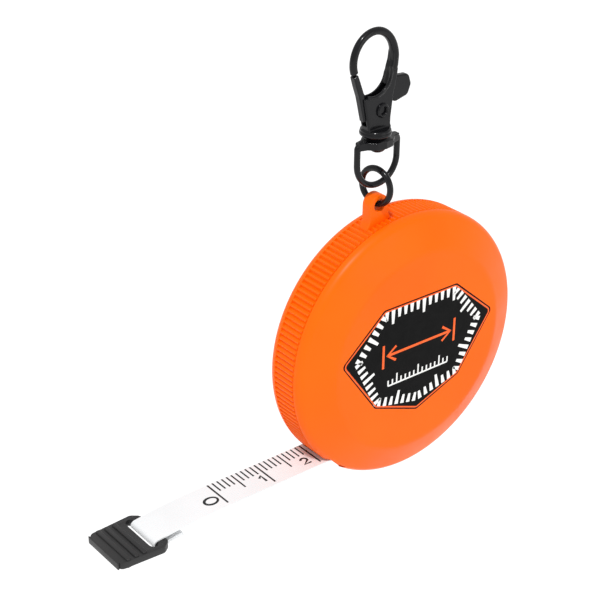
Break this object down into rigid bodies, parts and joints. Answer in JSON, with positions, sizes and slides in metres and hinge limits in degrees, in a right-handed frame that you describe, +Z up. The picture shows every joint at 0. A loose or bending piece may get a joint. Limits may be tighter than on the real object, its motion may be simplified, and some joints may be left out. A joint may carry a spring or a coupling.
{
  "type": "tape measure",
  "caption": "Round pocket tape measure with a ribbed case, spring-wound reel, push-button brake and end tab, on a jump ring and swivel snap hook.",
  "frame": {"origin": "highest point of the inside of the hook's eye, where the object hangs", "axes": "+Z up along the hook, -Y out of the case's front face, -X along the tape as it leaves the case"},
  "size_m": [0.0862, 0.013, 0.083],
  "materials": {
    "case_plastic": "satin orange moulded plastic",
    "label": "printed black film",
    "steel": "turned steel",
    "reel_plastic": "natural moulded plastic",
    "spring_steel": "blued spring steel",
    "tape": "white coated glass-fibre tape",
    "tab_plastic": "dark grey moulded plastic",
    "button_plastic": "black moulded plastic",
    "brake_rubber": "black rubber",
    "black_wire": "black coated wire",
    "hook_metal": "gunmetal black plated die casting"
  },
  "bodies": {
    "hook": {"hook_body": "hook_metal", "gate_pin": "hook_metal", "gate_spring": "spring_steel", "swivel_rivet": "hook_metal"},
    "gate": {"hook_gate": "hook_metal"},
    "bow": {"swivel_bow": "hook_metal"},
    "ring": {"jump_ring": "black_wire"},
    "case": {"front_cover": "case_plastic", "rear_cover": "case_plastic", "front_label": "label", "reel_arbor": "steel", "mainspring": "spring_steel", "button_spring": "spring_steel"},
    "reel": {"reel_drum": "reel_plastic", "reel_lid": "reel_plastic", "tape_coil": "tape"},
    "button": {"push_button": "button_plastic", "brake_carrier": "button_plastic", "brake_pad": "brake_rubber"},
    "tape": {"tape_strip": "tape", "tape_loop": "tape"},
    "tab": {"end_tab": "tab_plastic"}
  },
  "joints": [
    {"name": "gate_open", "type": "hinge", "parent": "hook", "child": "gate", "pos_m": [0.0012, 0, -0.01225], "axis": [0, 1, 0], "range_deg": [0, 25], "stiffness_Nm_per_rad": 0.006, "springref_deg": -34.38, "deforming": ["gate_spring"]},
    {"name": "swivel_spin", "type": "hinge", "parent": "hook", "child": "bow", "pos_m": [0.0012, 0, -0.01655], "axis": [0, 0, 1], "continuous": true},
    {"name": "ring_swing", "type": "hinge", "parent": "bow", "child": "ring", "pos_m": [0.0012, 0, -0.0256], "axis": [1, 0, 0], "range_deg": [-80, 80]},
    {"name": "case_swing", "type": "hinge", "parent": "ring", "child": "case", "pos_m": [0.0012, 0, -0.02907], "axis": [0, 1, 0], "range_deg": [-62, 60]},
    {"name": "reel_spin", "type": "hinge", "parent": "case", "child": "reel", "pos_m": [0.0067, 0, -0.0567], "axis": [0, 1, 0], "range_deg": [-112, 4780]},
    {"name": "tape_pull", "type": "slide", "parent": "case", "child": "tape", "axis": [-1, 0, 0], "range_m": [-0.034, 1.45], "deforming": ["tape_strip"]},
    {"name": "tab_swing", "type": "hinge", "parent": "tape", "child": "tab", "pos_m": [-0.0466, 0, -0.0757], "axis": [0, 1, 0], "range_deg": [-75, 75]},
    {"name": "button_press", "type": "slide", "parent": "case", "child": "button", "axis": [0, -1, 0], "range_m": [0, 0.001], "stiffness_N_per_m": 600, "springref_m": -0.0025, "deforming": ["button_spring"]}
  ],
  "couplings": [
    {"joint": "tape_pull", "follows": "reel_spin", "m_per_rad": 0.01738}
  ]
}
